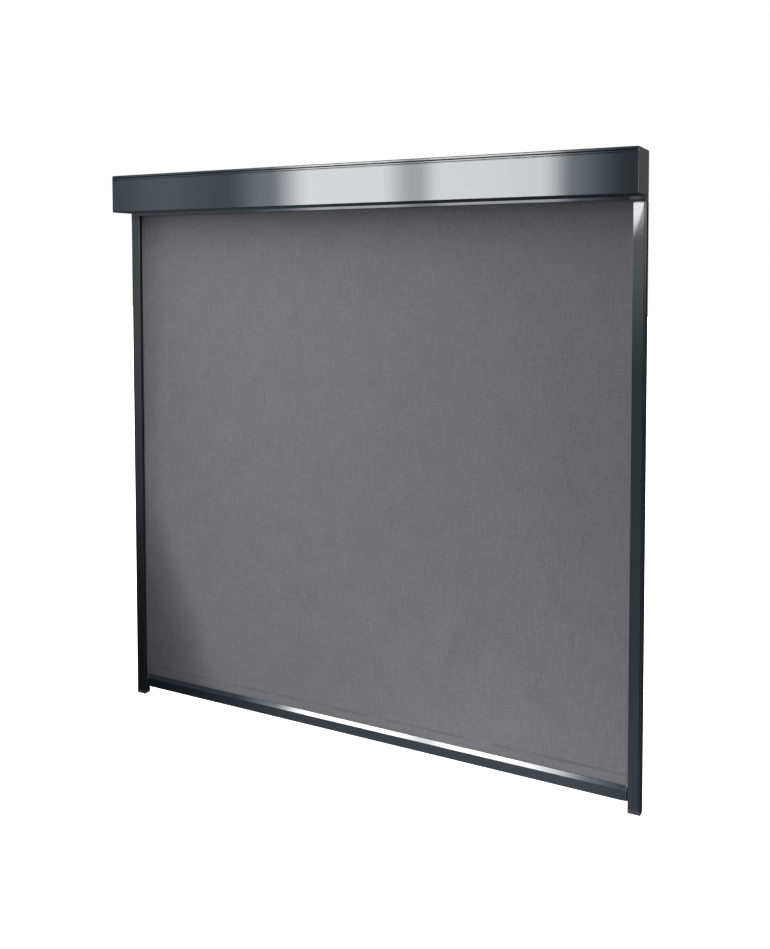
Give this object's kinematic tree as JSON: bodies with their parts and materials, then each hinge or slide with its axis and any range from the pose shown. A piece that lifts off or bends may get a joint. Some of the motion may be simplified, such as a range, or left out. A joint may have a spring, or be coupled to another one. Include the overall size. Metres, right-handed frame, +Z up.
{
  "type": "exterior zip screen blind",
  "caption": "Wall-hung exterior roller blind: a square cassette, two side guides with zip channels, a taut screen fabric and a weighted bottom bar.",
  "frame": {"origin": "on the wall plane, at the centre of the rectangle of the guides' outermost wall fixings: mid width and mid length of the guides", "axes": "+X to the right along the box seen from the front, +Y into the wall (the front faces -Y), +Z up"},
  "size_m": [1.8, 0.12, 1.838],
  "materials": {
    "coated_profile": "extruded aluminium with an anthracite powder coat, satin gloss",
    "coated_cap": "cast aluminium with an anthracite powder coat, fine texture",
    "black_plastic": "black moulded plastic",
    "grey_plastic": "anthracite moulded plastic",
    "white_plastic": "natural extruded plastic",
    "black_rubber": "black rubber",
    "black_foam": "closed-cell foam strip",
    "zinc_steel": "galvanised steel",
    "black_steel": "countersunk screws coated black like the caps",
    "stainless_steel": "stainless fasteners",
    "bright_steel": "bright drawn steel",
    "motor_paint": "dark painted steel tube",
    "motor_metal": "motor and gearbox, as a light alloy body",
    "screen_fabric": "coated glass-fibre screen fabric, grey with a mauve cast",
    "zip_plastic": "woven zip tape with a moulded bead"
  },
  "bodies": {
    "casing": {"bracket_screws_left": "stainless_steel", "bracket_screws_right": "stainless_steel", "cable_grommet": "black_rubber", "casing_back_profile": "coated_profile", "channel_cushion_left": "black_foam", "channel_cushion_right": "black_foam", "end_cap_left": "coated_cap", "end_cap_right": "coated_cap", "end_cap_screws_left": "black_steel", "end_cap_screws_right": "black_steel", "fabric_screen": "screen_fabric", "front_cover": "coated_profile", "front_cover_screws_left": "stainless_steel", "front_cover_screws_right": "stainless_steel", "guide_base_left": "coated_profile", "guide_base_right": "coated_profile", "guide_cover_left": "coated_profile", "guide_cover_right": "coated_profile", "guide_plug_left": "grey_plastic", "guide_plug_right": "grey_plastic", "idler_bearing": "white_plastic", "idler_bracket": "zinc_steel", "inlet_funnel_left": "black_plastic", "inlet_funnel_right": "black_plastic", "motor_bracket": "zinc_steel", "motor_brake": "motor_metal", "motor_gearbox": "motor_metal", "motor_head": "black_plastic", "motor_housing": "motor_paint", "motor_rotor_can": "motor_metal", "zip_channel_left": "black_plastic", "zip_channel_right": "black_plastic", "zip_tape_left": "zip_plastic", "zip_tape_right": "zip_plastic"},
    "roller": {"roller_tube": "zinc_steel", "roller_keder": "white_plastic", "fabric_roll": "screen_fabric", "zip_roll_left": "zip_plastic", "zip_roll_right": "zip_plastic", "motor_output_shaft": "bright_steel", "motor_crown": "black_plastic", "motor_drive_wheel": "black_plastic", "drive_wheel_rivets": "stainless_steel", "idler_plug": "black_plastic", "idler_pin": "bright_steel"},
    "bottom_bar": {"bottom_bar": "coated_profile", "hem_keder": "white_plastic", "bar_weight": "bright_steel", "bar_seal": "black_rubber", "bar_end_cap_left": "grey_plastic", "bar_end_cap_right": "grey_plastic"}
  },
  "joints": [
    {"name": "bar_lift", "type": "slide", "parent": "casing", "child": "bottom_bar", "axis": [0, 0, 1], "range_m": [0, 1.637], "deforming": ["fabric_screen", "zip_tape_left", "zip_tape_right"]},
    {"name": "roller_spin", "type": "hinge", "parent": "casing", "child": "roller", "pos_m": [0, -0.054, 0.9265], "axis": [1, 0, 0], "range_deg": [0, 2323]}
  ],
  "couplings": [
    {"joint": "roller_spin", "follows": "bar_lift", "rad_per_m": 24.753}
  ]
}
